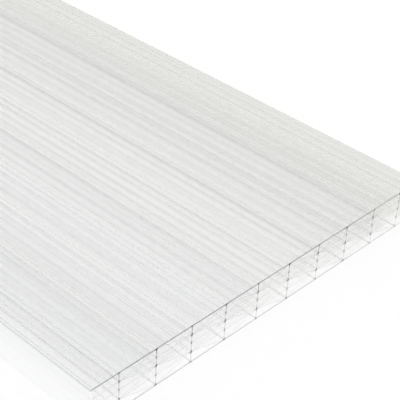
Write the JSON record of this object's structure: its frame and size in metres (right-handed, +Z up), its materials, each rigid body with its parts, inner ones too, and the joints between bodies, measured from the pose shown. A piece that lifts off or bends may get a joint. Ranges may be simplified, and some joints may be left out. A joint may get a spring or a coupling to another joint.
{
  "type": "multiwall polycarbonate sheet",
  "caption": "Clear multiwall glazing sheet with upright ribs, level inner walls, zigzag diagonals and closed long edges.",
  "frame": {"origin": "centre of the bottom face", "axes": "+Y along the flutes, +X across the ribs, +Z up through the thickness"},
  "size_m": [0.261, 2, 0.025],
  "materials": {
    "clear_polycarbonate": "clear extruded polycarbonate, glossy, with fine draw lines along the flutes"
  },
  "bodies": {
    "root": {"multiwall_sheet": "clear_polycarbonate"}
  },
  "joints": []
}
